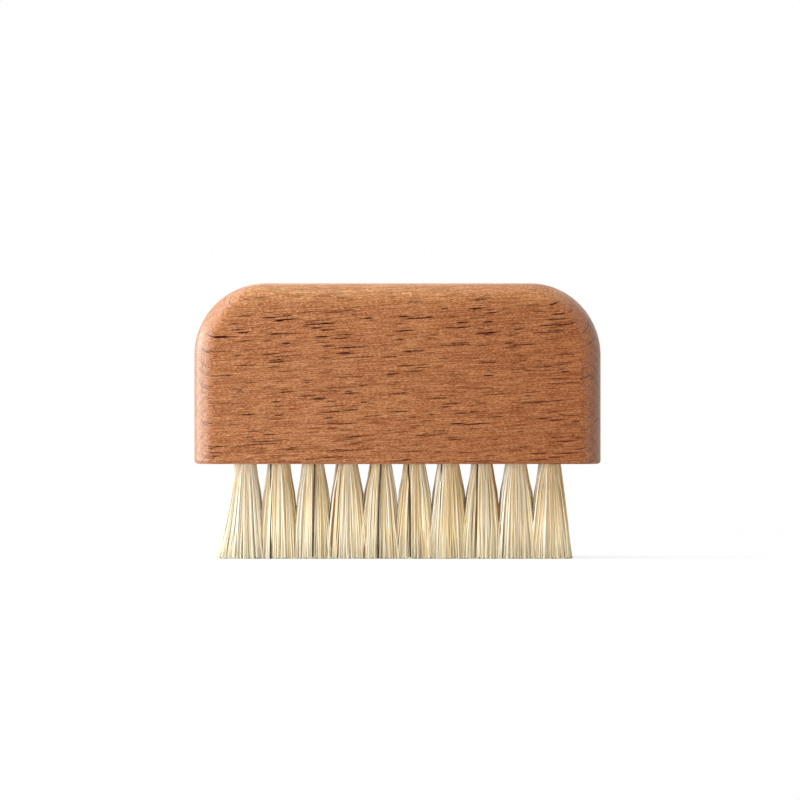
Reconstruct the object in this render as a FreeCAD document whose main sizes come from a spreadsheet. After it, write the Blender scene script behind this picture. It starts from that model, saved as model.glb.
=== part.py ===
import FreeCAD, Part
import os
import Sketcher

# A hand nail brush: a rounded beech block whose underside is drilled with a grid of blind holes.
# A tuft of bristles is folded over a flat wire anchor and driven into each hole.
# Millimetres. Z is up, X runs along the block and the front face looks toward -Y.
# The origin is on the plane of the bristle tips, under the middle of the block.

# Driving sizes, written once and kept in the sheet
SIZES = {
    # Beech block
    "handle_length": 60.0,
    "handle_height": 26.6,
    "handle_thickness": 18.0,
    "corner_radius": 10.5,
    "roundover_radius": 3.6,
    "face_sanding": 0.18,
    "arris_ease": 3.0,
    "base_ease": 0.5,
    # Grid of drilled holes: columns spread between end margins, rows centred under the block
    "end_margin": 7.5,
    "row_pitch": 5.0,
    "hole_diameter": 3.3,
    "hole_depth": 9.0,
    "drill_point_angle": 118.0,
    # Bristle tufts
    "bristle_length": 14.0,
    "merge_depth": 5.5,
    "tuft_gap": 0.2,
    "edge_splay": 1.5,
    "root_flat": 0.1,
    "tip_corner": 1.1,
    "fold_round": 0.8,
    "tuft_clearance": 0.05,
    "seat_clearance": 0.1,
    # Flat wire anchors
    "anchor_thickness": 0.35,
    "anchor_height": 2.0,
    "anchor_bite": 0.4,
    "anchor_angle": 45.0,
    "anchor_clearance": 0.02,
    "fold_thickness": 1.2,
}

# How many tufts the grid has along the block and across it
COUNTS = {
    "tuft_columns": 10,
    "tuft_rows": 3,
}

doc = FreeCAD.newDocument("nail_brush")
sheet = doc.addObject("Spreadsheet::Sheet", "sizes")
for line, (alias, value) in enumerate({**SIZES, **COUNTS}.items(), start=1):
    sheet.set(f"A{line}", alias)
    sheet.set(f"B{line}", str(value))
    sheet.setAlias(f"B{line}", alias)
doc.recompute()

# Levels, from the bristle tips up
TIP_LEVEL = "0"
MOUTH_LEVEL = "sizes.bristle_length"
SWELL_LEVEL = f"{MOUTH_LEVEL} - sizes.merge_depth"
TOP_LEVEL = f"{MOUTH_LEVEL} + sizes.handle_height"
ROOT_LENGTH = "(sizes.hole_depth - sizes.seat_clearance)"
ANCHOR_LEVEL = f"{MOUTH_LEVEL} + {ROOT_LENGTH} - sizes.fold_thickness - sizes.anchor_height"

# The grid's spans, and its first hole at the front left
COLUMN_SPAN = "(sizes.handle_length - 2 * sizes.end_margin)"
COLUMN_PITCH = f"({COLUMN_SPAN} / (sizes.tuft_columns - 1))"
ROW_SPAN = "((sizes.tuft_rows - 1) * sizes.row_pitch)"
FIRST_COLUMN = f"(-{COLUMN_SPAN} / 2)"
FIRST_ROW = f"(-{ROW_SPAN} / 2)"

# A bundle in its hole is a square with corners so round that it is nearly a circle.
# Its corners reach furthest, so the half width leaves the clearance there.
ROOT_HALF_WIDTH = "(sizes.hole_diameter / 2 - sizes.tuft_clearance - (sqrt(2) - 1) * sizes.root_flat)"
ROOT_CORNER = f"({ROOT_HALF_WIDTH} - sizes.root_flat)"
TIP_CORNER = f"min(sizes.tip_corner; {ROOT_CORNER})"
FOLD_RADIUS = f"min(sizes.fold_round; {ROOT_CORNER} - sizes.root_flat)"
ANCHOR_LENGTH = "(sizes.hole_diameter + 2 * sizes.anchor_bite)"

Z_AXIS = FreeCAD.Vector(0, 0, 1)
ON_LEVEL = 1e-4


def value_of(expression):
    """Number that an expression gives with the sizes now in the sheet."""
    return float(sheet.evalExpression(expression))


def bind(item, expressions):
    """Tie properties of one object to the sheet."""
    for name, expression in expressions.items():
        item.setExpression(name, expression)


def origin_feature(body, role):
    """Plane or axis of a body's own origin."""
    return next(item for item in body.Origin.OriginFeatures if item.Role == role)


def new_body(name):
    """Empty body whose label names its file."""
    body = doc.addObject("PartDesign::Body", name)
    body.Label = name
    return body


def sketch_on(body, role, name, level="0"):
    """Empty sketch parallel to an origin plane, lifted along the plane's normal."""
    sketch = body.newObject("Sketcher::SketchObject", name)
    sketch.AttachmentSupport = [(origin_feature(body, role), "")]
    sketch.MapMode = "FlatFace"
    bind(sketch, {"AttachmentOffset.Base.z": level})
    return sketch


def dimension(name, expression, kind, *points):
    """Named dimension with the number that its expression gives now."""
    constraint = Sketcher.Constraint(kind, *points, value_of(expression))
    constraint.Name = name
    return constraint


def draw_outline(sketch, sides, corner_radii):
    """Upright rectangle whose corners are round or sharp.

    sides gives the left, low, right and high side as expressions. corner_radii starts at the low
    left corner and goes counter-clockwise; None leaves that corner sharp. Each round corner is a
    quarter arc tangent to its two sides.
    """
    left, low, right, high = [value_of(side) for side in sides]
    corners = [(left, low), (right, low), (right, high), (left, high)]
    corners = [FreeCAD.Vector(x, y, 0) for x, y in corners]
    along = [FreeCAD.Vector(*step, 0) for step in ((1, 0), (0, 1), (-1, 0), (0, -1))]
    directions = ["Horizontal", "Vertical", "Horizontal", "Vertical"]
    radii = [0.0 if radius is None else value_of(radius) for radius in corner_radii]
    side_count = len(corners)
    geometry = []
    constraints = []
    bindings = {}
    for side in range(side_count):
        after = (side + 1) % side_count
        start = corners[side] + along[side] * radii[side]
        end = corners[after] - along[side] * radii[after]
        geometry.append(Part.LineSegment(start, end))
        constraints.append(Sketcher.Constraint(directions[side], side))
    for corner, radius in enumerate(corner_radii):
        before = (corner - 1) % side_count
        if radius is None:
            constraints.append(Sketcher.Constraint("Coincident", before, 2, corner, 1))
            continue
        arrive = along[before]
        leave = along[corner]
        centre = corners[corner] + (leave - arrive) * radii[corner]
        middle = centre + (arrive - leave).normalize() * radii[corner]
        start = corners[corner] - arrive * radii[corner]
        end = corners[corner] + leave * radii[corner]
        arc = len(geometry)
        geometry.append(Part.Arc(start, middle, end))
        constraints.append(Sketcher.Constraint("Tangent", before, 2, arc, 1))
        constraints.append(Sketcher.Constraint("Tangent", arc, 2, corner, 1))
        constraints.append(dimension(f"radius_{corner}", radius, "Radius", arc))
        bindings[f"Constraints.radius_{corner}"] = radius
    places = [
        ("left", "DistanceX", 3),
        ("low", "DistanceY", 0),
        ("right", "DistanceX", 1),
        ("high", "DistanceY", 2),
    ]
    for (name, kind, side), expression in zip(places, sides):
        constraints.append(dimension(name, expression, kind, side, 1))
        bindings[f"Constraints.{name}"] = expression
    sketch.addGeometry(geometry, False)
    sketch.addConstraint(constraints)
    bind(sketch, bindings)


def edges_where(feature, test):
    """Names of the feature's edges of which every end passes the test."""
    names = []
    for number, edge in enumerate(feature.Shape.Edges, start=1):
        if all(test(vertex.Point) for vertex in edge.Vertexes):
            names.append(f"Edge{number}")
    return names


def face_rims(feature, half_thickness):
    """Edges round the sides and the top of both broad faces, without their lower edges."""
    half = value_of(half_thickness)
    base = value_of(MOUTH_LEVEL)
    on_faces = edges_where(feature, lambda point: abs(abs(point.y) - half) < ON_LEVEL)
    lower = edges_where(feature, lambda point: abs(point.z - base) < ON_LEVEL)
    return [name for name in on_faces if name not in lower]


def add_fillet(body, name, base, edge_names, radius):
    """Rolling-ball fillet along the named edges of the last feature."""
    fillet = body.newObject("PartDesign::Fillet", name)
    fillet.Base = (base, edge_names)
    bind(fillet, {"Radius": radius})
    body.Tip = fillet
    doc.recompute()
    return fillet


def place_anchor_box(box, centre_x, centre_y, clearance):
    """Upright box of an anchor, turned about its middle and grown by a clearance on every side."""
    length = f"({ANCHOR_LENGTH} + 2 * {clearance})"
    width = f"(sizes.anchor_thickness + 2 * {clearance})"
    angle = "sizes.anchor_angle"
    box.Placement = FreeCAD.Placement(FreeCAD.Vector(), FreeCAD.Rotation(Z_AXIS, value_of(angle)))
    bind(box, {
        "Length": length,
        "Width": width,
        "Height": f"sizes.anchor_height + 2 * {clearance}",
        "Placement.Rotation.Angle": angle,
        "Placement.Base.x": f"{centre_x} - {length} / 2 * cos({angle}) + {width} / 2 * sin({angle})",
        "Placement.Base.y": f"{centre_y} - {length} / 2 * sin({angle}) - {width} / 2 * cos({angle})",
        "Placement.Base.z": f"{ANCHOR_LEVEL} - {clearance}",
    })


def add_grid(body, name, original):
    """Copies of one feature at every place of the grid, starting at its first corner."""
    grid = body.newObject("PartDesign::LinearPattern", name)
    grid.Originals = [original]
    grid.Direction = (origin_feature(body, "X_Axis"), [""])
    grid.Direction2 = (origin_feature(body, "Y_Axis"), [""])
    bind(grid, {
        "Length": COLUMN_SPAN,
        "Occurrences": "sizes.tuft_columns",
        "Length2": ROW_SPAN,
        "Occurrences2": "sizes.tuft_rows",
    })
    body.Tip = grid
    doc.recompute()
    return grid


def sand_face(body, name, low):
    """Flat cut over a whole broad face, as deep as the sanding, in a box twice that thick."""
    cut = body.newObject("PartDesign::SubtractiveBox", name)
    bind(cut, {
        "Length": "2 * sizes.handle_length",
        "Width": "2 * sizes.face_sanding",
        "Height": f"{TOP_LEVEL} + sizes.handle_height",
        "Placement.Base.x": "-sizes.handle_length",
        "Placement.Base.y": low,
    })
    body.Tip = cut
    doc.recompute()
    return cut


def make_handle():
    """Block with round upper corners and rounded edges, drilled and slit from below.

    The broad faces are sanded flat after their edges are rounded, which leaves a faint arris where
    the round-over meets the face. Handling with fine paper then eases that arris.
    """
    body = new_body("handle")
    outline = sketch_on(body, "XZ_Plane", "handle_outline")
    half_length = "sizes.handle_length / 2"
    sides = [f"-{half_length}", MOUTH_LEVEL, half_length, TOP_LEVEL]
    draw_outline(outline, sides, [None, None, "sizes.corner_radius", "sizes.corner_radius"])
    block = body.newObject("PartDesign::Pad", "block")
    block.Profile = outline
    block.SideType = "Symmetric"
    bind(block, {"Length": "sizes.handle_thickness + 2 * sizes.face_sanding"})
    doc.recompute()

    # Round the edges, sand the faces, ease the arris that is left, and last ease the underside
    rims = face_rims(block, "sizes.handle_thickness / 2 + sizes.face_sanding")
    add_fillet(body, "roundover", block, rims, "sizes.roundover_radius")
    sand_face(body, "sanded_front", "-sizes.handle_thickness / 2 - 2 * sizes.face_sanding")
    sanded = sand_face(body, "sanded_back", "sizes.handle_thickness / 2")
    rims = face_rims(sanded, "sizes.handle_thickness / 2")
    softened = add_fillet(body, "softened", sanded, rims, "sizes.arris_ease")
    base = value_of(MOUTH_LEVEL)
    underside = edges_where(softened, lambda point: abs(point.z - base) < ON_LEVEL)
    add_fillet(body, "ease", softened, underside, "sizes.base_ease")
    solid_volume = body.Shape.Volume

    # One blind hole with the cone of its drill, then the whole grid
    spot = sketch_on(body, "XY_Plane", "hole_spot", MOUTH_LEVEL)
    first = FreeCAD.Vector(value_of(FIRST_COLUMN), value_of(FIRST_ROW), 0)
    spot.addGeometry(Part.Circle(first, Z_AXIS, value_of("sizes.hole_diameter / 2")), False)
    spot.addConstraint([
        dimension("across", FIRST_COLUMN, "DistanceX", 0, 3),
        dimension("inward", FIRST_ROW, "DistanceY", 0, 3),
        dimension("diameter", "sizes.hole_diameter", "Diameter", 0),
    ])
    bind(spot, {
        "Constraints.across": FIRST_COLUMN,
        "Constraints.inward": FIRST_ROW,
        "Constraints.diameter": "sizes.hole_diameter",
    })
    doc.recompute()
    hole = body.newObject("PartDesign::Hole", "hole")
    hole.Profile = spot
    doc.recompute()
    hole.DepthType = "Dimension"
    hole.DrillPoint = "Angled"
    hole.Reversed = True
    bind(hole, {
        "Diameter": "sizes.hole_diameter",
        "Depth": "sizes.hole_depth",
        "DrillPointAngle": "sizes.drill_point_angle",
    })
    doc.recompute()
    holes = add_grid(body, "holes", hole)
    drilled_volume = holes.Shape.Volume

    # The ends of an anchor bite into the wall of its hole
    slit = body.newObject("PartDesign::SubtractiveBox", "slit")
    place_anchor_box(slit, FIRST_COLUMN, FIRST_ROW, "sizes.anchor_clearance")
    doc.recompute()
    add_grid(body, "slits", slit)
    print(f"holes take {solid_volume - drilled_volume:.1f} mm3 of wood,"
          f" slits {drilled_volume - body.Shape.Volume:.1f} mm3")
    return body


def make_tuft(row, column):
    """Bundle of bristles: a straight root in its hole, then a spread toward the tips.

    Below the block the bundle widens until it nearly meets its neighbours, and on the outside of
    the grid it leans out evenly all the way to the tips.
    """
    body = new_body(f"tuft_row{row + 1}_{column + 1:02d}")
    centre_x = f"{FIRST_COLUMN} + {column} * {COLUMN_PITCH}"
    centre_y = f"{FIRST_ROW} + {row} * sizes.row_pitch"
    bind(body, {"Placement.Base.x": centre_x, "Placement.Base.y": centre_y})
    side_names = ("left", "front", "right", "back")
    sign = {"left": "-", "front": "-", "right": "", "back": ""}
    pitch = {
        "left": COLUMN_PITCH,
        "front": "sizes.row_pitch",
        "right": COLUMN_PITCH,
        "back": "sizes.row_pitch",
    }
    on_edge = {
        "left": column == 0,
        "front": row == 0,
        "right": column == COUNTS["tuft_columns"] - 1,
        "back": row == COUNTS["tuft_rows"] - 1,
    }

    def reaches(depth):
        """Four sides of the bundle at a depth below the block."""
        sides = []
        for side in side_names:
            inner = f"({pitch[side]} - sizes.tuft_gap) / 2"
            outer = f"({ROOT_HALF_WIDTH} + sizes.edge_splay * {depth} / sizes.bristle_length)"
            sides.append(sign[side] + (outer if on_edge[side] else inner))
        return sides

    mouth = sketch_on(body, "XY_Plane", f"{body.Name}_mouth", MOUTH_LEVEL)
    root_sides = [sign[side] + ROOT_HALF_WIDTH for side in side_names]
    draw_outline(mouth, root_sides, [ROOT_CORNER] * len(side_names))
    swell = sketch_on(body, "XY_Plane", f"{body.Name}_swell", SWELL_LEVEL)
    draw_outline(swell, reaches("sizes.merge_depth"), [ROOT_CORNER] * len(side_names))
    tips = sketch_on(body, "XY_Plane", f"{body.Name}_tips", TIP_LEVEL)
    draw_outline(tips, reaches("sizes.bristle_length"), [TIP_CORNER] * len(side_names))

    root = body.newObject("PartDesign::Pad", f"{body.Name}_root")
    root.Profile = mouth
    bind(root, {"Length": ROOT_LENGTH})
    spread = body.newObject("PartDesign::AdditiveLoft", f"{body.Name}_spread")
    spread.Profile = mouth
    spread.Sections = [swell, tips]
    spread.Ruled = True
    body.Tip = spread
    doc.recompute()

    # The folded end is round, and the anchor lies across it in a slot
    crown = value_of(f"{MOUTH_LEVEL} + {ROOT_LENGTH}")
    crown_edges = edges_where(spread, lambda point: abs(point.z - crown) < ON_LEVEL)
    add_fillet(body, f"{body.Name}_fold", spread, crown_edges, FOLD_RADIUS)
    slot = body.newObject("PartDesign::SubtractiveBox", f"{body.Name}_slot")
    place_anchor_box(slot, "0", "0", "sizes.anchor_clearance")
    body.Tip = slot
    return body


def make_anchors(row):
    """Flat wire anchors of one row of tufts, each a separate solid."""
    body = new_body(f"anchors_row{row + 1}")
    body.AllowCompound = True
    bind(body, {
        "Placement.Base.x": FIRST_COLUMN,
        "Placement.Base.y": f"{FIRST_ROW} + {row} * sizes.row_pitch",
    })
    anchor = body.newObject("PartDesign::AdditiveBox", f"{body.Name}_anchor")
    place_anchor_box(anchor, "0", "0", "0")
    doc.recompute()
    line = body.newObject("PartDesign::LinearPattern", f"{body.Name}_line")
    line.Originals = [anchor]
    line.Direction = (origin_feature(body, "X_Axis"), [""])
    bind(line, {
        "Length": COLUMN_SPAN,
        "Occurrences": "sizes.tuft_columns",
    })
    body.Tip = line
    return body


# Build every piece
bodies = [make_handle()]
for row_index in range(COUNTS["tuft_rows"]):
    for column_index in range(COUNTS["tuft_columns"]):
        bodies.append(make_tuft(row_index, column_index))
    bodies.append(make_anchors(row_index))
doc.recompute()

# Nothing is written unless every object and every shape is sound
failed = [item.Name for item in doc.Objects if {"Invalid", "Error"} & set(item.State)]
if failed:
    raise RuntimeError(f"objects failed to compute: {failed}")
for body in bodies:
    if body.Shape.isNull() or not body.Shape.isValid():
        raise RuntimeError(f"shape of {body.Label} is not sound")
    expected = COUNTS["tuft_columns"] if body.Label.startswith("anchors") else 1
    if len(body.Shape.Solids) != expected:
        raise RuntimeError(f"{body.Label} has {len(body.Shape.Solids)} solids, not {expected}")

os.makedirs("parts", exist_ok=True)
for body in bodies:
    body.Shape.exportStep(f"parts/{body.Label}.step")
whole = Part.makeCompound([body.Shape for body in bodies]).optimalBoundingBox(False)
print(f"{len(bodies)} nodes, {COUNTS['tuft_rows']} rows of {COUNTS['tuft_columns']} tufts,"
      f" {whole.XLength:.2f} x {whole.YLength:.2f} x {whole.ZLength:.2f} mm")
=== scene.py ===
# %% [markdown]
# # A beech nail brush
# The brush is a small rounded block of beech with thirty tufts of hog bristle under it. The block and
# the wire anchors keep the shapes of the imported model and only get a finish. The tufts are made anew,
# hair by hair, because a solid plug with stripes on it never looks like bristle.

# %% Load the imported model
import math

import bpy
import numpy as np
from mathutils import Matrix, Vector


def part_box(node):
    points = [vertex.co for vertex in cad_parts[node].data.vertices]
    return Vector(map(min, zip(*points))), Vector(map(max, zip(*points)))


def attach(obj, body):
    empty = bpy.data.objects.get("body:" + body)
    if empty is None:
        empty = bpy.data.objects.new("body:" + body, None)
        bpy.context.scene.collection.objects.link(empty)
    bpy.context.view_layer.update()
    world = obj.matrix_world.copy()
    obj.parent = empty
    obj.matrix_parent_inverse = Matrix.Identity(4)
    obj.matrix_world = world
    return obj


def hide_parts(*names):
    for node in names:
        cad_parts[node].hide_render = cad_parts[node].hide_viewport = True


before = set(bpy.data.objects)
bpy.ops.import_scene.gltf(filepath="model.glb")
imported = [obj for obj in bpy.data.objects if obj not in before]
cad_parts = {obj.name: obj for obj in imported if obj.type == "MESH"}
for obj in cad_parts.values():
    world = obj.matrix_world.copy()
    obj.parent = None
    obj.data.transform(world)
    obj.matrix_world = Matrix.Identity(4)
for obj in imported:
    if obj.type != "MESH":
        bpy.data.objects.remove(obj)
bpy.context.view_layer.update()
MM = 0.001
handle_low, handle_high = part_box("handle")
mouth_level = handle_low.z
print(f"{len(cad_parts)} nodes; the bristles stand {mouth_level / MM:.1f} mm out of the block")


# %% [markdown]
# ## Small tools for wiring shader nodes
# A procedural finish is a net of small nodes. These helpers make one node, set its inputs by name or
# number, and hand back the output, so that a finish further down reads like a list of what it mixes.

# %% Colours and single nodes
WHITE = (1.0, 1.0, 1.0, 1.0)
CHART_WHITE = 255
CHART_GREY = 128
CURVE_START = 0.04045
CURVE_SLOPE = 12.92
CURVE_OFFSET = 0.055
CURVE_POWER = 2.4


def linear(red, green, blue):
    """Colour for a shader from the 0 to 255 numbers of a paint chart, by the sRGB curve.

    A share of white below the curve's start is divided by the slope. Any other gets the offset added,
    is divided by one plus the offset, and is raised to the curve's power.
    """
    share = np.array([red, green, blue]) / CHART_WHITE
    curved = ((share + CURVE_OFFSET) / (1 + CURVE_OFFSET)) ** CURVE_POWER
    value = np.where(share <= CURVE_START, share / CURVE_SLOPE, curved)
    return (*value.tolist(), 1.0)


def feed(tree, socket, value):
    """Link another node's output into an input, or set the input's own value."""
    if isinstance(value, bpy.types.NodeSocket):
        tree.links.new(value, socket)
    else:
        socket.default_value = value


def node(tree, kind, inputs=None, **settings):
    """New node of one kind with its settings and inputs."""
    made = tree.nodes.new(kind)
    for name, value in settings.items():
        setattr(made, name, value)
    for name, value in (inputs or {}).items():
        feed(tree, made.inputs[name], value)
    return made


mid_grey = linear(CHART_GREY, CHART_GREY, CHART_GREY)[0]
print(f"the chart's middle grey is {mid_grey:.3f} in a shader")

# %% Arithmetic of values, vectors and colours
MIX_FACTOR = 0
MIX_FIRST = 6
MIX_SECOND = 7
MIX_RESULT = 2


def figure(tree, operation, first, second=0.0):
    """Sum, product or other arithmetic of two values."""
    inputs = {0: first, 1: second}
    return node(tree, "ShaderNodeMath", inputs, operation=operation).outputs[0]


def vector_figure(tree, operation, first, second):
    """Sum, product or other arithmetic of two vectors."""
    inputs = {0: first, 1: second}
    return node(tree, "ShaderNodeVectorMath", inputs, operation=operation).outputs[0]


def length_of(tree, vector):
    """Length of a vector."""
    return node(tree, "ShaderNodeVectorMath", {0: vector}, operation="LENGTH").outputs["Value"]


def joined(tree, *parts):
    """Vector from three values."""
    return node(tree, "ShaderNodeCombineXYZ", dict(enumerate(parts))).outputs[0]


def parted(tree, vector):
    """The three values of a vector."""
    return node(tree, "ShaderNodeSeparateXYZ", {0: vector}).outputs


def ramp(tree, value, low, high, to_low=0.0, to_high=1.0):
    """Value carried from low..high to to_low..to_high along a smooth S."""
    inputs = {"Value": value, 1: low, 2: high, 3: to_low, 4: to_high}
    made = node(tree, "ShaderNodeMapRange", inputs, interpolation_type="SMOOTHSTEP")
    return made.outputs[0]


def blend(tree, factor, first, second, how="MIX"):
    """Two colours mixed by a factor."""
    inputs = {MIX_FACTOR: factor, MIX_FIRST: first, MIX_SECOND: second}
    made = node(tree, "ShaderNodeMix", inputs, data_type="RGBA", blend_type=how)
    return made.outputs[MIX_RESULT]


print("arithmetic helpers ready")


# %% Groups, finishes and their measure
def new_group(name, inputs, outputs):
    """Empty node group with named sockets; inputs map a name to its kind and first value."""
    group = bpy.data.node_groups.new(name, "ShaderNodeTree")
    for socket, (kind, value) in inputs.items():
        made = group.interface.new_socket(socket, in_out="INPUT", socket_type=kind)
        if value is not None:
            made.default_value = value
    for socket, kind in outputs.items():
        group.interface.new_socket(socket, in_out="OUTPUT", socket_type=kind)
    entry = group.nodes.new("NodeGroupInput")
    leave = group.nodes.new("NodeGroupOutput")
    return group, entry.outputs, leave.inputs


def use_group(tree, group, **values):
    """A group placed in a material with its own values, and its outputs."""
    made = node(tree, "ShaderNodeGroup", node_tree=group)
    for name, value in values.items():
        feed(tree, made.inputs[name], value)
    return made.outputs


def new_finish(name):
    """Empty material with a Principled shader, its node tree and the shader."""
    material = bpy.data.materials.new(name)
    material.use_nodes = True
    tree = material.node_tree
    shader = next(item for item in tree.nodes if item.type == "BSDF_PRINCIPLED")
    return material, tree, shader


def in_millimetres(tree, turn, shift=(0.0, 0.0, 0.0)):
    """Object coordinates in millimetres, turned into a finish's own directions and then shifted."""
    place = node(tree, "ShaderNodeTexCoord").outputs["Object"]
    inputs = {"Vector": place, "Location": shift, "Rotation": turn, "Scale": (1 / MM,) * 3}
    return node(tree, "ShaderNodeMapping", inputs).outputs[0]


def dress(item, finish):
    """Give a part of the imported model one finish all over."""
    item.data.materials.clear()
    item.data.materials.append(finish)


print("group and finish helpers ready")


# %% [markdown]
# ## Streaks and spindles
# Wood fibres, drawn wire and hair all show fine streaks along their length, so that effect is one
# group that every finish shares: noise that is stretched along the first axis. The second group
# scatters little spindles. On beech they are the rays, the short dark flecks that tell beech from
# other timbers at a glance, and the pores. A cellular texture puts one spindle in each cell and a
# random share of the cells stays empty. Because the spindles are solid bodies in space, a fleck on the
# face runs on round the edge.

# %% Streaks along the first axis
FLOAT = "NodeSocketFloat"
VECTOR = "NodeSocketVector"
MIDDLE_GREY = 0.5
STREAK_DETAIL = 2.0

streaks, enter, leave = new_group(
    "streaks",
    {"Vector": (VECTOR, None), "Length": (FLOAT, 1.0), "Width": (FLOAT, 1.0), "Contrast": (FLOAT, 0.25)},
    {"Value": FLOAT},
)
stretch = joined(streaks, enter["Length"], enter["Width"], enter["Width"])
drawn = vector_figure(streaks, "DIVIDE", enter["Vector"], stretch)
grey = node(streaks, "ShaderNodeTexNoise", {"Vector": drawn, "Scale": 1.0, "Detail": STREAK_DETAIL})
darkest = figure(streaks, "SUBTRACT", MIDDLE_GREY, enter["Contrast"])
lightest = figure(streaks, "ADD", MIDDLE_GREY, enter["Contrast"])
feed(streaks, leave["Value"], ramp(streaks, grey.outputs[0], darkest, lightest))
print("group:", streaks.name)

# %% Spindles scattered through space
SPINDLE_CORE = 0.65
SHORTEST = 0.45
FAINTEST = 0.65
UNEVENNESS = 0.85

spindles, enter, leave = new_group(
    "spindles",
    {
        "Vector": (VECTOR, None),
        "Cell": (VECTOR, (1.0, 1.0, 1.0)),
        "Half Size": (VECTOR, (0.2, 0.2, 0.2)),
        "Share": (FLOAT, 0.5),
    },
    {"Mask": FLOAT},
)
in_cells = vector_figure(spindles, "DIVIDE", enter["Vector"], enter["Cell"])
laid_out = {"Vector": in_cells, "Scale": 1.0, "Randomness": UNEVENNESS}
cells = node(spindles, "ShaderNodeTexVoronoi", laid_out).outputs
lot = node(spindles, "ShaderNodeSeparateColor", {0: cells["Color"]}).outputs
shorter = joined(spindles, ramp(spindles, lot[2], 0.0, 1.0, SHORTEST, 1.0), 1.0, 1.0)
half_size = vector_figure(spindles, "MULTIPLY", enter["Half Size"], shorter)
from_centre = vector_figure(spindles, "SUBTRACT", in_cells, cells["Position"])
in_size = vector_figure(spindles, "MULTIPLY", from_centre, enter["Cell"])
in_size = vector_figure(spindles, "DIVIDE", in_size, half_size)
body = ramp(spindles, length_of(spindles, in_size), SPINDLE_CORE, 1.0, 1.0, 0.0)
chosen = figure(spindles, "LESS_THAN", lot[0], enter["Share"])
strength = ramp(spindles, lot[1], 0.0, 1.0, FAINTEST, 1.0)
kept = figure(spindles, "MULTIPLY", chosen, strength)
feed(spindles, leave["Mask"], figure(spindles, "MULTIPLY", body, kept))
print("group:", spindles.name)


# %% [markdown]
# ## Beech
# The block was sawn so that the fibres run along it, rising a little to the right, and the rays lean
# back through its thickness. A flat picture of wood would break at every edge, so the finish is a solid
# texture in the tree's own directions: along the fibre, outward from the pith along the rays, and round
# the trunk. Everything there is measured in millimetres: rays as strong and faint flecks, the thin dark
# end of each year's ring, silky cloud, fine fibre and pores. Rings lie at a steady distance from the
# pith, so they curve on the ends of the block.

# %% Directions of the wood
RAY_LEAN = math.radians(38)
FIBRE_RISE = math.radians(2.6)
FIBRE_SWING = math.radians(2.0)
PITH_DISTANCE = 90.0
WANDER_LENGTH = 12.0
WANDER_DETAIL = 1.0
WANDER = 0.3

beech, tree, shader = new_finish("beech")
turn = (-RAY_LEAN, FIBRE_RISE, -FIBRE_SWING)
middle = (handle_low.z + handle_high.z) / 2 / MM
shift = (0.0, -middle * math.sin(RAY_LEAN), -middle * math.cos(RAY_LEAN))
sawn = parted(tree, in_millimetres(tree, turn, shift))
from_pith = figure(tree, "ADD", sawn[1], PITH_DISTANCE)
spoke = length_of(tree, joined(tree, 0.0, from_pith, sawn[2]))
outward_part = figure(tree, "SUBTRACT", spoke, PITH_DISTANCE)
round_part = figure(tree, "MULTIPLY", figure(tree, "ARCTAN2", sawn[2], from_pith), PITH_DISTANCE)
grain = joined(tree, sawn[0], outward_part, round_part)
rolling = {"Vector": grain, "Scale": 1 / WANDER_LENGTH, "Detail": WANDER_DETAIL}
wander = node(tree, "ShaderNodeTexNoise", rolling).outputs["Color"]
wander = vector_figure(tree, "SUBTRACT", wander, (MIDDLE_GREY,) * 3)
wander = vector_figure(tree, "MULTIPLY", wander, (0.0, WANDER, WANDER))
grain = vector_figure(tree, "ADD", grain, wander)
print(f"{beech.name}: pith {PITH_DISTANCE:.0f} mm away, rays lean {math.degrees(RAY_LEAN):.0f} degrees")

# %% Cloud and strokes, in millimetres along and across the fibre
STROKES = {
    "cloud": {"Length": 9.0, "Width": 1.5, "Contrast": 0.2},
    "red": {"Length": 5.0, "Width": 0.13, "Contrast": 0.12},
    "pale": {"Length": 3.2, "Width": 0.11, "Contrast": 0.12},
    "specks": {"Length": 0.4, "Width": 0.1, "Contrast": 0.1},
    "breaks": {"Length": 1.6, "Width": 0.6, "Contrast": 0.1},
}
strokes = {
    name: use_group(tree, streaks, Vector=grain, **sizes)["Value"] for name, sizes in STROKES.items()
}
print("strokes:", ", ".join(strokes))

# %% Rays and pores, in millimetres along the fibre, along the ray and across
FLECKS = {
    "long": {"Cell": (10.0, 9.5, 0.38), "Half Size": (3.1, 3.0, 0.11), "Share": 0.75},
    "short": {"Cell": (6.0, 7.0, 0.34), "Half Size": (1.9, 2.2, 0.1), "Share": 0.75},
    "faint": {"Cell": (4.5, 5.5, 0.32), "Half Size": (1.2, 1.5, 0.085), "Share": 0.7},
    "pores": {"Cell": (0.7, 0.17, 0.17), "Half Size": (0.25, 0.05, 0.05), "Share": 0.6},
}
BROKEN_RAY = 0.7
RAY_ACROSS = (0.0, -math.sin(RAY_LEAN), math.cos(RAY_LEAN))
BROADSIDE = (0.82, 0.98)
BROADSIDE_RAY = 0.12

flecks = {
    name: use_group(tree, spindles, Vector=grain, **sizes)["Mask"] for name, sizes in FLECKS.items()
}
pores = flecks["pores"]
rays = figure(tree, "MAXIMUM", flecks["long"], flecks["short"])
rays = figure(tree, "MULTIPLY", rays, ramp(tree, strokes["breaks"], 0.0, 1.0, BROKEN_RAY, 1.0))

# Where the surface cuts a ray broadside it would be one large blot, so rays fade there
outward = node(tree, "ShaderNodeTexCoord").outputs["Normal"]
facing = node(tree, "ShaderNodeVectorMath", {0: outward, 1: RAY_ACROSS}, operation="DOT_PRODUCT")
facing = figure(tree, "ABSOLUTE", facing.outputs["Value"])
on_edge = ramp(tree, facing, *BROADSIDE, 1.0, BROADSIDE_RAY)
rays = figure(tree, "MULTIPLY", rays, on_edge)
faint_rays = figure(tree, "MULTIPLY", flecks["faint"], on_edge)
print("flecks:", ", ".join(flecks))

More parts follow.
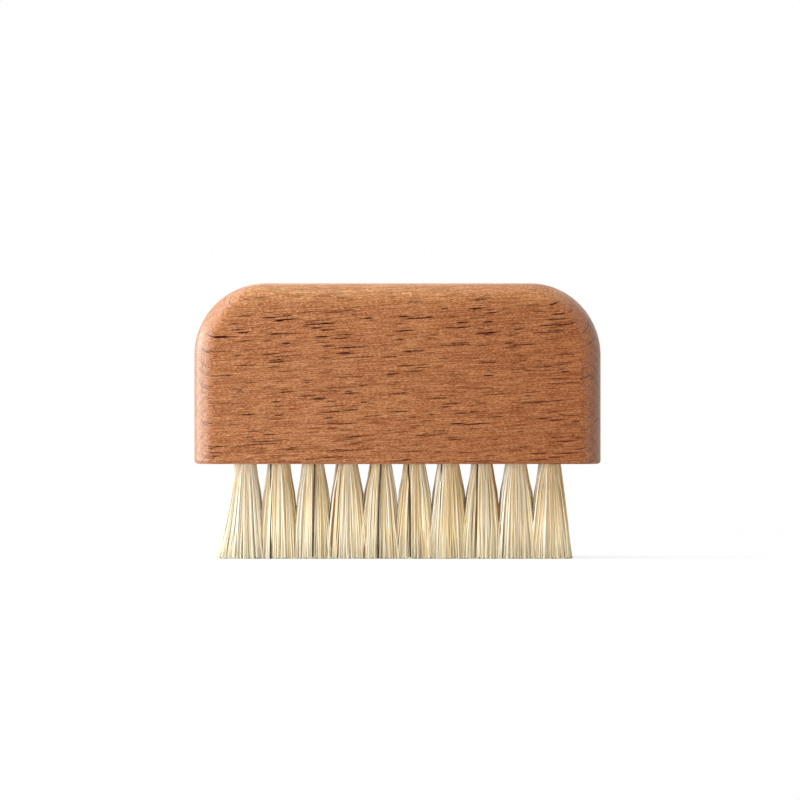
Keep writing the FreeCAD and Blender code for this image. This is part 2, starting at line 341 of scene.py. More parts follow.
# %% Which way the surface faces, and the rings of the years
END_GRAIN = (0.3, 0.8)
RING_SPACING = 1.1
LATE_WOOD = (0.6, 0.97)
RING_ON_SIDES = 0.25
RING_ON_ENDS = 0.6
POOR_YEAR = 0.3

end_facing, face_facing, up_facing = (figure(tree, "ABSOLUTE", part) for part in parted(tree, outward))
end_grain = ramp(tree, end_facing, *END_GRAIN)
year = figure(tree, "DIVIDE", parted(tree, grain)[1], RING_SPACING)
season = figure(tree, "FRACT", year)
winter = ramp(tree, season, LATE_WOOD[1], 1.0, 1.0, 0.0)
late_wood = figure(tree, "MULTIPLY", ramp(tree, season, *LATE_WOOD), winter)
ring_strength = ramp(tree, end_grain, 0.0, 1.0, RING_ON_SIDES, RING_ON_ENDS)
late_wood = figure(tree, "MULTIPLY", late_wood, ring_strength)
count = figure(tree, "FLOOR", year)
weather = node(tree, "ShaderNodeTexWhiteNoise", {"W": count}, noise_dimensions="1D").outputs["Value"]
late_wood = figure(tree, "MULTIPLY", late_wood, ramp(tree, weather, 0.0, 1.0, POOR_YEAR, 1.0))
print(f"rings {RING_SPACING} mm apart")

# %% [markdown]
# ### Colour and gloss of the beech
# The strokes, rings, pores and rays are laid over each other as thin glazes. Then come the broad
# changes: end grain is darker; the wood grows redder and darker to the right, partly because the heart
# of the tree was there and partly as painted shade on the side away from the lamps; and it grows paler
# and yellower along the top, partly where the sapwood begins and partly as painted light from the lamp
# overhead. Bare sanded wood hardly shines, so there is no plain gloss. A soft sheen stands for the nap
# of the fibres, and only the round edges next to the end grain, which sanding burnishes, have a coat.

# %% Colour of the beech
BEECH_MID = linear(147, 88, 51)
BEECH_ROSE = linear(141, 79, 45)
BEECH_LIGHT = linear(212, 160, 114)
BEECH_DEEP = linear(106, 52, 26)
RAY_COLOUR = linear(50, 2, 0)
RAY_END_COLOUR = linear(104, 58, 34)
RING_COLOUR = linear(112, 58, 32)
PORE_COLOUR = linear(104, 54, 28)
END_GRAIN_SHADE = (0.80, 0.86, 0.78, 1.0)
# Painted shade: the right of the block is made darker and redder, partly as heartwood
HEARTWOOD_AND_PAINTED_SHADE = (0.87, 0.78, 0.71, 1.0)
# Painted light: the top of the block is made paler and yellower, partly as sapwood
SAPWOOD_AND_PAINTED_LIGHT = (1.14, 1.33, 1.29, 1.0)
HEARTWOOD_AND_SHADE_SPAN = (-20 * MM, 30 * MM)
SAPWOOD_AND_LIGHT_SPAN = (36.5 * MM, 40 * MM)
SPECK_START, SPECK_GLAZE = 0.4, 0.5
PALE_START, PALE_GLAZE = 0.3, 0.25
RED_START, RED_GLAZE = 0.4, 0.46
PORE_GLAZE = 0.5
FAINT_GLAZE = 0.6

colour = blend(tree, strokes["cloud"], BEECH_ROSE, BEECH_MID)
colour = blend(tree, ramp(tree, strokes["specks"], SPECK_START, 1.0, 0.0, SPECK_GLAZE), colour, BEECH_LIGHT)
colour = blend(tree, ramp(tree, strokes["pale"], PALE_START, 1.0, 0.0, PALE_GLAZE), colour, BEECH_LIGHT)
colour = blend(tree, ramp(tree, strokes["red"], RED_START, 1.0, 0.0, RED_GLAZE), colour, BEECH_DEEP)
colour = blend(tree, late_wood, colour, RING_COLOUR)
colour = blend(tree, figure(tree, "MULTIPLY", pores, PORE_GLAZE), colour, PORE_COLOUR)
ray_colour = blend(tree, end_grain, RAY_COLOUR, RAY_END_COLOUR)
colour = blend(tree, figure(tree, "MULTIPLY", faint_rays, FAINT_GLAZE), colour, ray_colour)
colour = blend(tree, rays, colour, ray_colour)
colour = blend(tree, end_grain, colour, END_GRAIN_SHADE, "MULTIPLY")
block = parted(tree, node(tree, "ShaderNodeTexCoord").outputs["Object"])
# Painted shade: darker and redder towards the right, away from the lamps, partly heartwood
colour = blend(tree, ramp(tree, block[0], *HEARTWOOD_AND_SHADE_SPAN), colour, HEARTWOOD_AND_PAINTED_SHADE, "MULTIPLY")
# Painted light: paler and yellower along the top, under the lamp overhead, partly sapwood
colour = blend(tree, ramp(tree, block[2], *SAPWOOD_AND_LIGHT_SPAN), colour, SAPWOOD_AND_PAINTED_LIGHT, "MULTIPLY")
feed(tree, shader.inputs["Base Color"], colour)
print("colour of the beech laid on")

# %% Gloss and relief of the beech
ROUGH_FIBRE, SMOOTH_FIBRE = 0.62, 0.54
TURNED_END = (0.12, 0.45)
TURNED_UP, TOP_BURNISH = (0.3, 0.7), 0.15
TURNED_FACE, END_BURNISH = (0.02, 0.6), 0.9
BURNISH_ROUGHNESS = 0.42
NAP = 0.3
NAP_ROUGHNESS = 0.45
FIBRE_RELIEF = 0.4
RAY_RELIEF = 0.5
RELIEF_STRENGTH = 0.5
RELIEF_DEPTH = 0.02 * MM

feed(tree, shader.inputs["Roughness"], ramp(tree, strokes["pale"], 0.0, 1.0, ROUGH_FIBRE, SMOOTH_FIBRE))
shader.inputs["Specular IOR Level"].default_value = 0.0
turned_end = ramp(tree, end_facing, *TURNED_END)
turned_up = ramp(tree, up_facing, *TURNED_UP, 0.0, TOP_BURNISH)
turned_face = ramp(tree, face_facing, *TURNED_FACE, 0.0, END_BURNISH)
burnished = figure(tree, "MULTIPLY", figure(tree, "MAXIMUM", turned_end, turned_up), turned_face)
feed(tree, shader.inputs["Coat Weight"], burnished)
shader.inputs["Coat Roughness"].default_value = BURNISH_ROUGHNESS
shader.inputs["Sheen Weight"].default_value = NAP
shader.inputs["Sheen Roughness"].default_value = NAP_ROUGHNESS
shader.inputs["Sheen Tint"].default_value = WHITE
relief = figure(tree, "SUBTRACT", figure(tree, "MULTIPLY", strokes["pale"], FIBRE_RELIEF), pores)
relief = figure(tree, "SUBTRACT", relief, figure(tree, "MULTIPLY", rays, RAY_RELIEF))
carved = {"Height": relief, "Strength": RELIEF_STRENGTH, "Distance": RELIEF_DEPTH}
feed(tree, shader.inputs["Normal"], node(tree, "ShaderNodeBump", carved).outputs[0])
dress(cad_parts["handle"], beech)
print("the block is beech")


# %% [markdown]
# ## Brass anchors
# Each tuft is held in its hole by a short flat of drawn brass wire. It is hidden when the brush is
# whole, so it gets a simple finish: brass with the fine lines that the drawing die leaves along it.

# %% Drawn brass
ANCHOR_TURN = math.radians(-45)
BRASS_DEEP = linear(176, 140, 74)
BRASS_LIGHT = linear(214, 180, 104)
DULL_LINE, BRIGHT_LINE = 0.42, 0.26
DIE_LINES = {"Length": 2.0, "Width": 0.05, "Contrast": 0.25}

brass, tree, shader = new_finish("brass_wire")
along = in_millimetres(tree, (0.0, 0.0, ANCHOR_TURN))
lines = use_group(tree, streaks, Vector=along, **DIE_LINES)["Value"]
feed(tree, shader.inputs["Base Color"], blend(tree, lines, BRASS_DEEP, BRASS_LIGHT))
feed(tree, shader.inputs["Roughness"], ramp(tree, lines, 0.0, 1.0, DULL_LINE, BRIGHT_LINE))
shader.inputs["Metallic"].default_value = 1.0
anchors = [item for name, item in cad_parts.items() if name.startswith("anchors")]
for item in anchors:
    dress(item, brass)
print(f"{len(anchors)} rows of anchors are brass")


# %% [markdown]
# ## Hog bristle
# A bristle is pale horn, from nearly white to honey, and a few are brown or black. Every hair carries
# two numbers of its own, its tone and its darkness, and a third that says how high above the tips a
# point lies. The tone also holds painted shade: hairs deep in a tuft and on its right side, away from
# the lamps, lean to honey. The finish reads these instead of a picture, so one material serves all the
# hairs: honey hairs are darkened near the block as painted shade, and pale ones grow paler towards the
# tips, partly as worn split tips do and partly as painted light.

# %% Bristle finish
PALE_HORN = linear(241, 235, 218)
HONEY_HORN = linear(227, 195, 127)
PATCH_HORN = linear(244, 226, 182)
# Painted shade: hairs darker near the block
ROOT_SHADE_HORN = linear(210, 182, 132)
# Painted light, partly the paler split tips: hairs paler towards the tips
TIP_BLEACHED_AND_LIT_HORN = linear(247, 237, 206)
BROWN_HORN = linear(172, 114, 50)
BLACK_HORN = linear(34, 26, 22)
PATCHES = {"Length": 3.0, "Width": 0.25, "Contrast": 0.25}
PATCH_GLAZE = 0.25
ROOT_SPAN, ROOT_SHADE_GLAZE = (0.1, 0.9), 0.6
ROOT_SHADE_BY_TONE, PALE_ROOT_SHADE = (0.0, 0.45), 0.1
TIP_SPAN, TIP_GLAZE = (0.0, 0.5), 0.65
TIP_BLEACH_AND_LIGHT_BY_TONE, HONEY_TIP_BLEACH_AND_LIGHT = (0.3, 1.0), 0.4
BROWN_AT = 0.5
GLOSSY_HORN, DULL_HORN = 0.34, 0.46
HORN_GLOSS = 0.3
HAIR_NUMBERS = ("tone_and_shade", "dark", "reach")
QUARTER_TURN = math.pi / 2

bristle, tree, shader = new_finish("hog_bristle")
tone_and_shade, dark, reach = (
    node(tree, "ShaderNodeAttribute", attribute_name=name).outputs["Fac"] for name in HAIR_NUMBERS
)
upright = in_millimetres(tree, (0.0, QUARTER_TURN, 0.0))
patchy = use_group(tree, streaks, Vector=upright, **PATCHES)["Value"]
colour = blend(tree, tone_and_shade, PALE_HORN, HONEY_HORN)
colour = blend(tree, figure(tree, "MULTIPLY", patchy, PATCH_GLAZE), colour, PATCH_HORN)
# Painted shade: honey hairs darkened near the block, pale ones hardly
near_root = ramp(tree, reach, *ROOT_SPAN, 0.0, ROOT_SHADE_GLAZE)
root_painted_shade = figure(tree, "MULTIPLY", near_root, ramp(tree, tone_and_shade, *ROOT_SHADE_BY_TONE, PALE_ROOT_SHADE, 1.0))
colour = blend(tree, root_painted_shade, colour, ROOT_SHADE_HORN)
# Painted light, partly the paler split tips: pale hairs lightened towards the tips
near_tip = ramp(tree, reach, *TIP_SPAN, TIP_GLAZE, 0.0)
bleach_and_painted_light = figure(tree, "MULTIPLY", near_tip, ramp(tree, tone_and_shade, *TIP_BLEACH_AND_LIGHT_BY_TONE, 1.0, HONEY_TIP_BLEACH_AND_LIGHT))
colour = blend(tree, bleach_and_painted_light, colour, TIP_BLEACHED_AND_LIT_HORN)
colour = blend(tree, ramp(tree, dark, 0.0, BROWN_AT), colour, BROWN_HORN)
colour = blend(tree, ramp(tree, dark, BROWN_AT, 1.0), colour, BLACK_HORN)
feed(tree, shader.inputs["Base Color"], colour)
feed(tree, shader.inputs["Roughness"], ramp(tree, patchy, 0.0, 1.0, GLOSSY_HORN, DULL_HORN))
shader.inputs["Specular IOR Level"].default_value = HORN_GLOSS
print("bristle finish reads", ", ".join(HAIR_NUMBERS))


# %% [markdown]
# ## Tufts
# A tuft is a bunch of hairs folded in half over its anchor, so each hair is a long narrow U: tip, leg,
# fold, leg, tip. A hair system could grow them, but a mesh exports as it is and each hair stays where
# it is put. All the hairs of a tuft are worked out together as arrays: first the middle line of every
# hair, then a thin four-sided tube around it. A tuft on the edge of the grid has no neighbour to hold it
# back, so it leans out further on that side. The rows differ a little in how tightly they are packed
# and how soon they spread. Some hairs are thick and pale, and a few listed ones in front are dark.

# %% Sizes of the bristle grid, in millimetres
COLUMNS = 10
ROWS = 3
FRONT_ROW = 1
COLUMN_PITCH = 5.0
ROW_PITCH = 5.0
FREE_LENGTH = mouth_level / MM
ANCHOR_RISE = 7.7
ANCHOR_TOP = FREE_LENGTH + ANCHOR_RISE
ANCHOR_HALF = 0.3
ANCHOR_ALONG = np.array([1.0, 1.0]) / math.sqrt(2)
ANCHOR_ACROSS = np.array([1.0, -1.0]) / math.sqrt(2)
CROWN_RISE = 1.0
BUNDLE_RADIUS = 1.55
ENDS_PER_TUFT = 780
print(f"{ROWS * COLUMNS} tufts of about {ENDS_PER_TUFT} ends")

# %% Where the hairs of one tuft leave the block
GOLDEN_ANGLE = math.pi * (3 - math.sqrt(5))
RIM_POWER = 0.38
MOUTH_JITTER = 0.02
PACKED = {1: 1.0, 2: 0.95, 3: 0.95}


def disc_spots(count, radius):
    """Spots in a disc, each a golden angle further round than the one before.

    The k-th spot, counted from one half, is at radius * (k / count) ** RIM_POWER. A power of one half
    would fill the disc evenly, and a smaller one sets the spots closer together towards the rim.
    """
    k = np.arange(count) + 0.5
    far = radius * (k / count) ** RIM_POWER
    turn = k * GOLDEN_ANGLE
    return np.stack([far * np.cos(turn), far * np.sin(turn)], axis=-1)


def mouth_spots(row, rng):
    """Both places of each hair at the mouth of the hole, an array of leg, hair and x, y.

    The first leg is on one side of the anchor and the second is its mirror image on the other side.
    """
    spots = disc_spots(ENDS_PER_TUFT, BUNDLE_RADIUS)
    first = spots[spots @ ANCHOR_ACROSS > 0]
    second = first - 2 * (first @ ANCHOR_ACROSS)[:, None] * ANCHOR_ACROSS
    return PACKED[row] * np.stack([first, second]) + rng.normal(0, MOUTH_JITTER, (2, *first.shape))


from_middle = np.linalg.norm(disc_spots(ENDS_PER_TUFT, BUNDLE_RADIUS), axis=1)
print(f"half of the hairs stand more than {np.median(from_middle):.2f} mm from the tuft's middle")

# %% Where their tips are
LEAN = {"left": 2.5, "right": 1.4, "front": 1.4, "back": 1.4}
INNER_LEAN = 1.2
SQUARENESS = 0.95
TIP_JITTER = 0.22
LOCKS = 18
LOCK_PULL = 0.1
TINY = 1e-6


def lean_of(row, column):
    """How far the tips lean out on the four sides of a tuft: further where it has no neighbour."""
    free = {
        "left": column == 1,
        "right": column == COLUMNS,
        "front": row == FRONT_ROW,
        "back": row == ROWS,
    }
    return {side: LEAN[side] if free[side] else INNER_LEAN for side in LEAN}


def tip_spots(spots, lean, rng):
    """Places of the tips for places at the mouth of the hole.

    A spot moves out in proportion to its distance from the middle, by the lean of its side, and the
    disc becomes a rounded square so that neighbouring tufts fill the corners between them. Then groups
    of hairs draw together a little, as damp bristle does.
    """
    share = spots / BUNDLE_RADIUS
    far = np.linalg.norm(share, axis=1, keepdims=True)
    widest = np.abs(share).max(axis=1, keepdims=True)
    squared = share * (1 + SQUARENESS * (far / np.maximum(widest, TINY) - 1))
    low = np.array([lean["left"], lean["front"]])
    high = np.array([lean["right"], lean["back"]])
    out = BUNDLE_RADIUS + np.where(share < 0, low, high)
    tips = squared * out + rng.normal(0, TIP_JITTER, spots.shape)
    locks = tips[rng.choice(len(tips), LOCKS, replace=False)]
    nearest = np.linalg.norm(tips[:, None] - locks[None], axis=2).argmin(axis=1)
    return tips + LOCK_PULL * (locks[nearest] - tips)


print("lean of the first tuft:", lean_of(FRONT_ROW, 1))

# %% Middle lines of the folded hairs
LEG_SHARES = np.array([0.0, 0.35, 0.7, 1.0])
FOLD_ANGLES = np.radians([60, 120])
RINGS = 2 * (len(LEG_SHARES) + 1) + len(FOLD_ANGLES)


def leg(mouth, tip, trim, bow, bend):
    """Points of hairs from tip to mouth.

    At a share q of the way down, a hair has gone a power of q of its way outward, plus a bow that is
    largest halfway, as sin(pi q). The power is over 1 on a free side, where the hair bends out more
    and more, and under 1 where it soon leans on the next tuft.
    """
    down = (1 - LEG_SHARES)[None, :, None]
    gone = down ** bend[:, None]
    flat = mouth[:, None] + (tip - mouth)[:, None] * gone + bow[:, None] * np.sin(math.pi * down)
    height = FREE_LENGTH - (FREE_LENGTH - trim)[:, None] * (1 - LEG_SHARES)[None]
    return np.concatenate([flat, height[..., None]], axis=2)


def folded_lines(mouths, tips, trims, bows, bends):
    """Middle lines of U-shaped hairs, an array of hair, ring and x, y, z.

    Each hair runs from its first tip to the mouth, up beside the anchor, over it in half an ellipse
    that is higher for the outer hairs, and down the other leg.
    """
    across = mouths @ ANCHOR_ACROSS
    lengthwise = mouths @ ANCHOR_ALONG
    pushed = np.sign(across) * (ANCHOR_HALF + np.abs(across) * (1 - ANCHOR_HALF / BUNDLE_RADIUS))
    shoulders = lengthwise[..., None] * ANCHOR_ALONG + pushed[..., None] * ANCHOR_ACROSS
    level = np.full((len(mouths[0]), 1), ANCHOR_TOP)
    middle = (shoulders[0] + shoulders[1]) / 2
    half = (shoulders[0] - shoulders[1]) / 2
    rise = CROWN_RISE * np.abs(pushed[0]) / BUNDLE_RADIUS
    flat = middle[:, None] + half[:, None] * np.cos(FOLD_ANGLES)[None, :, None]
    over = ANCHOR_TOP + rise[:, None] * np.sin(FOLD_ANGLES)[None]
    fold = np.concatenate([flat, over[..., None]], axis=2)
    legs = [leg(mouths[side], tips[side], trims[side], bows[side], bends[side]) for side in (0, 1)]
    tops = [np.concatenate([shoulders[side], level], axis=1)[:, None] for side in (0, 1)]
    return np.concatenate([legs[0], tops[0], fold, tops[1], legs[1][:, ::-1]], axis=1)


print(f"a hair is a line of {RINGS} points")

# %% Tubes round the middle lines
SIDES = 4


def tubes(lines, radii, rolls):
    """Corners of thin tubes, an array of hair, ring, side and x, y, z.

    A ring lies square to its hair: one arm is the anchor's direction with its part along the hair
    taken off, the other arm is square to both, and the corners go round as cosine and sine of them.
    """
    along = np.gradient(lines, axis=1)
    along /= np.linalg.norm(along, axis=2, keepdims=True)
    anchor = np.array([*ANCHOR_ALONG, 0.0])
    first = anchor - (along @ anchor)[..., None] * along
    first /= np.linalg.norm(first, axis=2, keepdims=True)
    second = np.cross(along, first)
    turn = rolls[:, None] + np.arange(SIDES)[None] * (2 * math.pi / SIDES)
    ring = np.cos(turn)[:, None, :, None] * first[:, :, None]
    ring = ring + np.sin(turn)[:, None, :, None] * second[:, :, None]
    return lines[:, :, None] + radii[:, :, None, None] * ring


def tube_faces(hairs):
    """Corner numbers of the tubes' faces and the two closed ends of each, all four-sided."""
    ring = np.arange(RINGS - 1)[:, None]
    side = np.arange(SIDES)[None]
    after = (side + 1) % SIDES
    near = ring * SIDES
    far = near + SIDES
    wall = np.stack([near + side, near + after, far + after, far + side], axis=-1).reshape(-1, SIDES)
    start = np.arange(SIDES)[None, ::-1]
    end = (RINGS - 1) * SIDES + np.arange(SIDES)[None]
    one = np.concatenate([wall, start, end])
    first = np.arange(hairs)[:, None, None] * (RINGS * SIDES)
    return (first + one[None]).reshape(-1, SIDES)


print(f"a hair has {len(tube_faces(1))} faces")

# %% Flat map of the tubes
CAP_SIZE = 0.01
CAP_GAP = 0.01
STRIP_SIDE = 0.05
STRIP_END = 0.03
FACE_ACROSS = np.array([0, 1, 1, 0])
FACE_UPWARD = np.array([0, 0, 1, 1])


def tube_strips(hairs):
    """Flat map of the tubes: each hair has its own upright strip, with room between strips.

    A wall face lies at its side's share across the strip and its ring's share up the strip. The two
    closed ends are small squares below and above it.
    """
    ring = np.arange(RINGS - 1)[:, None, None]
    side = np.arange(SIDES)[None, :, None]
    across = (side + FACE_ACROSS[None, None]) / SIDES
    upward = (ring + FACE_UPWARD[None, None]) / (RINGS - 1)
    across, upward = np.broadcast_arrays(across, upward)
    wall = np.stack([across, upward], axis=-1).reshape(-1, 2)
    cap = np.stack([FACE_ACROSS, FACE_UPWARD], axis=-1) * CAP_SIZE
    one = np.concatenate([wall, cap - [0, CAP_SIZE + CAP_GAP], cap + [0, 1 + CAP_GAP]])
    strip = np.arange(hairs)[:, None]
    u = (strip + STRIP_SIDE + (1 - 2 * STRIP_SIDE) * one[None, :, 0]) / hairs
    v = STRIP_END + (1 - 2 * STRIP_END) * np.broadcast_to(one[None, :, 1], u.shape)
    return np.stack([u, v], axis=-1).reshape(-1, 2)


print(f"a hair's strip has {len(tube_strips(1))} corners")


# %% One tuft as a mesh
def tuft_mesh(name, centre, corners, values):
    """Mesh from the tubes of one tuft, with the hairs' own numbers as attributes."""
    hairs = len(corners)
    points = corners.reshape(-1, 3) + [*centre, 0.0]
    faces = tube_faces(hairs)
    mesh = bpy.data.meshes.new(name)
    mesh.vertices.add(len(points))
    mesh.vertices.foreach_set("co", (points * MM).ravel())
    mesh.loops.add(faces.size)
    mesh.loops.foreach_set("vertex_index", faces.ravel())
    mesh.polygons.add(len(faces))
    mesh.polygons.foreach_set("loop_start", np.arange(len(faces)) * SIDES)
    mesh.polygons.foreach_set("use_smooth", np.ones(len(faces), bool))
    flat_map = mesh.uv_layers.new(name="OFBake")
    flat_map.uv.foreach_set("vector", tube_strips(hairs).ravel())
    for label, per_ring in values.items():
        spread_out = np.repeat(per_ring.reshape(-1), SIDES)
        mesh.attributes.new(label, "FLOAT", "POINT").data.foreach_set("value", spread_out)
    mesh.update(calc_edges=True)
    mesh.validate()
    mesh.materials.append(bristle)
    return mesh


print("mesh maker ready")

# %% Thickness and tone of the hairs
HAIR_RADIUS = 0.14
HAIR_SIZES = (0.8, 1.15)
MOUTH_THINNESS = 0.52
THICK_SHARE = 0.12
THICKNESS = 1.3
DARK_RADIUS = 0.125
DARK_SHARE = {1: 0.0, 2: 0.004, 3: 0.004}
DARKNESS = (0.5, 1.0)
TONE_SHAPE = 1.6
# Painted shade: deep hairs and hairs on a tuft's right side, away from the lamps, lean to honey
DEEP_PAINTED_SHADE = 0.5
RIGHT_PAINTED_SHADE = 0.3
PALE_TUFTS = {(1, 1): 0.35}


def hair_tones(row, column, mouths, rng):
    """Darkness and tone of each hair, and whether it is thick.

    Tone is a random draw, plus a share of how deep the hair stands in the tuft, plus a share of how far
    to the right it stands, held between 0 and 1; both shares are painted shade, deep in the tuft and on
    its side away from the lamps. A pale tuft scales it down, and thick hairs have none.
    """
    hairs = len(mouths[0])
    dark = np.where(rng.random(hairs) < DARK_SHARE[row], rng.uniform(*DARKNESS, hairs), 0.0)
    share = mouths[0] / BUNDLE_RADIUS
    deep = 1 - np.linalg.norm(share, axis=1)
    # Painted shade: the deep and right-hand shares stand for shade inside the tuft
    tone_and_shade = rng.beta(TONE_SHAPE, TONE_SHAPE, hairs) + DEEP_PAINTED_SHADE * deep + RIGHT_PAINTED_SHADE * share[:, 0]
    thick = rng.random(hairs) < THICK_SHARE
    tone_and_shade = np.where(thick, 0.0, np.clip(tone_and_shade, 0, 1) * PALE_TUFTS.get((row, column), 1.0))
    return dark, tone_and_shade, thick


def hair_radii(reach, thick, dark, rng):
    """Radius of each hair at each of its rings.

    A hair thins in a straight line from its tip to the mouth of the hole, and stays as thin above it.
    Dark hairs are equally thick all along.
    """
    size = np.where(thick, THICKNESS, rng.uniform(*HAIR_SIZES, len(thick)))
    radii = HAIR_RADIUS * size[:, None] * (1 - (1 - MOUTH_THINNESS) * reach)
    return np.where(dark[:, None] > 0, DARK_RADIUS, radii)


tip_width = 2 * HAIR_RADIUS
print(f"hairs are {tip_width:.2f} mm wide at the tip and {tip_width * MOUTH_THINNESS:.2f} mm at the block")

# %% Dark hairs of the front row
DARK_STAND = 0.1
DARK_OTHER_LEG = 0.6
DARK_BOW = 0.3

# By tuft: where the hairs leave the block and where they end, counted from the tuft's middle to the
# right, how dark they are, and how far behind the tuft's front their tips are, with a minus for before it
DARK_HAIRS = {
    2: [(-1.2, -1.2, 0.95, 0.0)],
    3: [(0.28, 0.0, 0.9, -0.4)],
    4: [(-1.35, -2.3, 0.5, 0.2)],
    5: [(0.05, -0.4, 0.95, -0.35), (-1.4, -2.5, 0.5, 0.2)],
    6: [(-0.9, -0.62, 1.0, -0.4)],
    7: [(-0.98, -1.2, 0.9, 0.35)],
    8: [(-0.7, -0.9, 0.85, 0.1), (1.4, 3.0, 0.6, 0.2)],
}


def set_dark_hairs(column, mouths, tips, bows, dark):
    """Move the hair nearest to each listed place there, with its other leg hidden at the back."""
    for at_mouth, at_tip, darkness, sunk in DARK_HAIRS.get(column, []):
        front = -math.sqrt(max(BUNDLE_RADIUS**2 - at_mouth**2, 0.0)) - DARK_STAND
        distance = np.linalg.norm(mouths - [at_mouth, front], axis=2)
        side, hair = np.unravel_index(distance.argmin(), distance.shape)
        mouths[side, hair] = (at_mouth, front)
        tips[side, hair] = (at_tip, sunk - BUNDLE_RADIUS - LEAN["front"])
        mouths[1 - side, hair] = -DARK_OTHER_LEG * mouths[side, hair]
        tips[1 - side, hair] = -mouths[side, hair]
        bows[:, hair] *= DARK_BOW
        dark[hair] = darkness


print(sum(len(hairs) for hairs in DARK_HAIRS.values()), "dark hairs listed in the front row")

# %% All the tufts
SEED_STEP = 1000
TRIM_SPREAD = 0.14
BOW_SPREAD = 0.12
FREE_BEND = 1.15
HELD_BEND = {1: 0.68, 2: 0.85, 3: 0.75}


def hair_bends(row, column, mouths, tips):
    """Power by which each leg bends out, as in leg(): one for sides without a neighbour, else the row's."""
    low_free = np.array([column == 1, row == FRONT_ROW])
    high_free = np.array([column == COLUMNS, row == ROWS])
    free = np.where(tips < mouths, low_free, high_free)
    return np.where(free, FREE_BEND, HELD_BEND[row])


def make_tuft(row, column):
    """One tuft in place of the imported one: folded hairs with their own bow, trim, thickness and tone."""
    rng = np.random.default_rng(SEED_STEP * row + column)
    mouths = mouth_spots(row, rng)
    hairs = len(mouths[0])
    tips = tip_spots(mouths.reshape(-1, 2), lean_of(row, column), rng).reshape(mouths.shape)
    trims = np.abs(rng.normal(0, TRIM_SPREAD, (2, hairs)))
    bows = rng.normal(0, BOW_SPREAD, mouths.shape)
    dark, tone_and_shade, thick = hair_tones(row, column, mouths, rng)
    if row == FRONT_ROW:
        set_dark_hairs(column, mouths, tips, bows, dark)
    lines = folded_lines(mouths, tips, trims, bows, hair_bends(row, column, mouths, tips))
    reach = np.clip(lines[..., 2] / FREE_LENGTH, 0, 1)
    radii = hair_radii(reach, thick, dark, rng)
    corners = tubes(lines, radii, rng.uniform(0, QUARTER_TURN, hairs))
    values = {
        "tone_and_shade": np.repeat(tone_and_shade[:, None], RINGS, axis=1),
        "dark": np.repeat(dark[:, None], RINGS, axis=1),
        "reach": reach,
    }
    label = f"row{row}_{column:02d}"
    centre = ((column - (COLUMNS + 1) / 2) * COLUMN_PITCH, (row - (ROWS + 1) / 2) * ROW_PITCH)
    mesh = tuft_mesh(f"bristles_{label}", centre, corners, values)
    tuft = bpy.data.objects.new(mesh.name, mesh)
    bpy.context.scene.collection.objects.link(tuft)
    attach(tuft, "root")
    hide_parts(f"tuft_{label}")
    return tuft


tufts = [make_tuft(row, column) for row in range(1, ROWS + 1) for column in range(1, COLUMNS + 1)]
faces = [len(tuft.data.polygons) for tuft in tufts]
print(f"{len(tufts)} tufts, {sum(faces)} faces, the fullest with {max(faces)}")


# %% [markdown]
# ## Floor, light and camera
# The brush stands on its bristle tips on a plain white table. Two low lamps on the left and one above
# them model the round edges at that end, one hangs overhead, and weaker ones stand in front and behind.
# An even white room fills the shade. The table and the room look white to the camera and in
# reflections without throwing more light on the brush, and near the brush the table shows its shadow.

# %% White table
FLOOR_SIZE = 6.0
FLOOR_GREY = (0.75, 0.75, 0.75, 1.0)
FLOOR_ROUGHNESS = 0.9
FLOOR_GLOW = 0.8
GLOW_NEAR = 0.05
GLOW_FAR = 0.3


def seen_as_white(tree):
    """1 for what the camera sees, straight or in a reflection or through glass, and 0 for other light."""
    rays_seen = node(tree, "ShaderNodeLightPath").outputs
    seen = figure(tree, "MAXIMUM", rays_seen["Is Camera Ray"], rays_seen["Is Glossy Ray"])
    return figure(tree, "MAXIMUM", seen, rays_seen["Is Transmission Ray"])


half = FLOOR_SIZE / 2
floor_corners = [(-half, -half, 0), (half, -half, 0), (half, half, 0), (-half, half, 0)]
floor_mesh = bpy.data.meshes.new("floor")
floor_mesh.from_pydata(floor_corners, [], [(0, 1, 2, 3)])
floor = bpy.data.objects.new("floor", floor_mesh)
bpy.context.scene.collection.objects.link(floor)
paper, tree, shader = new_finish("white_table")
shader.inputs["Base Color"].default_value = FLOOR_GREY
shader.inputs["Roughness"].default_value = FLOOR_ROUGHNESS
shader.inputs["Specular IOR Level"].default_value = 0.0
glow = node(tree, "ShaderNodeEmission", {"Color": WHITE, "Strength": 1.0})
away = length_of(tree, node(tree, "ShaderNodeTexCoord").outputs["Object"])
share = ramp(tree, away, GLOW_NEAR, GLOW_FAR, FLOOR_GLOW, 1.0)
share = figure(tree, "MULTIPLY", seen_as_white(tree), share)
mixed = node(tree, "ShaderNodeMixShader", {0: share, 1: shader.outputs[0], 2: glow.outputs[0]})
ending = next(item for item in tree.nodes if item.type == "OUTPUT_MATERIAL")
tree.links.new(mixed.outputs[0], ending.inputs["Surface"])
floor_mesh.materials.append(paper)
print(f"table of {FLOOR_SIZE:.0f} m")

# %% White room
ROOM_LIGHT = 0.23

world = bpy.data.worlds.new("white_room")
bpy.context.scene.world = world
world.use_nodes = True
tree = world.node_tree
background = next(item for item in tree.nodes if item.type == "BACKGROUND")
background.inputs["Color"].default_value = WHITE
feed(tree, background.inputs["Strength"], ramp(tree, seen_as_white(tree), 0.0, 1.0, ROOM_LIGHT, 1.0))
print("room light:", ROOM_LIGHT)

# %% Lamps
LOOK_AT = Vector((0.35, 0.0, 23.35)) * MM

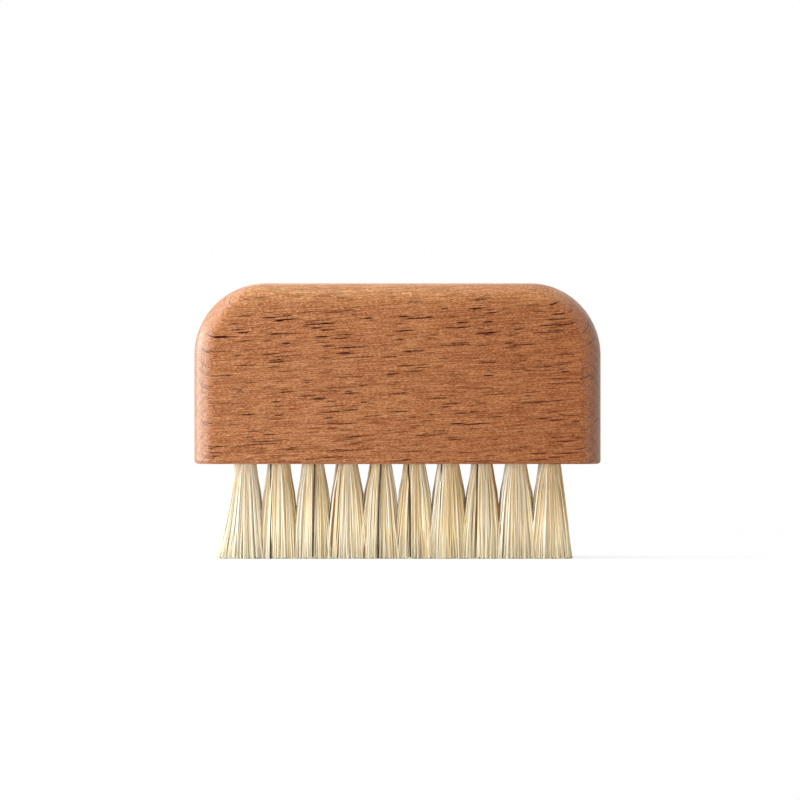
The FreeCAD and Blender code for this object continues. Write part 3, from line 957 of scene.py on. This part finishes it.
# Direction from the brush, distance and width and height in metres, power in watts
LAMPS = {
    "key_lamp": ((-0.90, -0.40, 0.17), 0.40, (0.24, 0.16), 1.25),
    "side_lamp": ((-0.93, 0.30, 0.17), 0.40, (0.24, 0.16), 1.38),
    "corner_lamp": ((-0.68, -0.10, 0.72), 0.42, (0.20, 0.20), 0.8),
    "top_lamp": ((0.0, -0.22, 0.97), 0.45, (0.36, 0.36), 1.95),
    "front_lamp": ((-0.05, -0.99, 0.07), 0.60, (0.25, 0.25), 0.68),
    "back_lamp": ((0.25, 0.95, 0.20), 0.60, (0.40, 0.40), 1.3),
}


def aim(item, toward, distance):
    """Put a lamp or camera at a distance from the brush in one direction, looking back at the brush."""
    direction = Vector(toward).normalized()
    item.location = LOOK_AT + direction * distance
    item.rotation_euler = (-direction).to_track_quat("-Z", "Y").to_euler()
    bpy.context.scene.collection.objects.link(item)


def add_lamp(name, toward, distance, size, power):
    """Rectangular lamp that looks at the brush from a direction; size is its width and height."""
    data = bpy.data.lights.new(name, "AREA")
    data.shape = "RECTANGLE"
    data.size, data.size_y = size
    data.energy = power
    aim(bpy.data.objects.new(name, data), toward, distance)


for name, facts in LAMPS.items():
    add_lamp(name, *facts)
print("lamps:", ", ".join(LAMPS))

# %% Camera
CAMERA_DISTANCE = 3.0
CAMERA_YAW = math.radians(0.2)
CAMERA_RISE = math.radians(0.8)
VIEW_WIDTH = 0.1184
SENSOR_WIDTH = 36.0

toward = (
    math.sin(CAMERA_YAW) * math.cos(CAMERA_RISE),
    -math.cos(CAMERA_YAW) * math.cos(CAMERA_RISE),
    math.sin(CAMERA_RISE),
)
camera_data = bpy.data.cameras.new("camera")
camera_data.sensor_width = SENSOR_WIDTH
camera_data.lens = SENSOR_WIDTH * CAMERA_DISTANCE / VIEW_WIDTH
camera = bpy.data.objects.new("camera", camera_data)
aim(camera, toward, CAMERA_DISTANCE)
bpy.context.scene.camera = camera
bpy.context.scene.view_settings.view_transform = "Standard"
print(f"lens {camera_data.lens:.0f} mm")
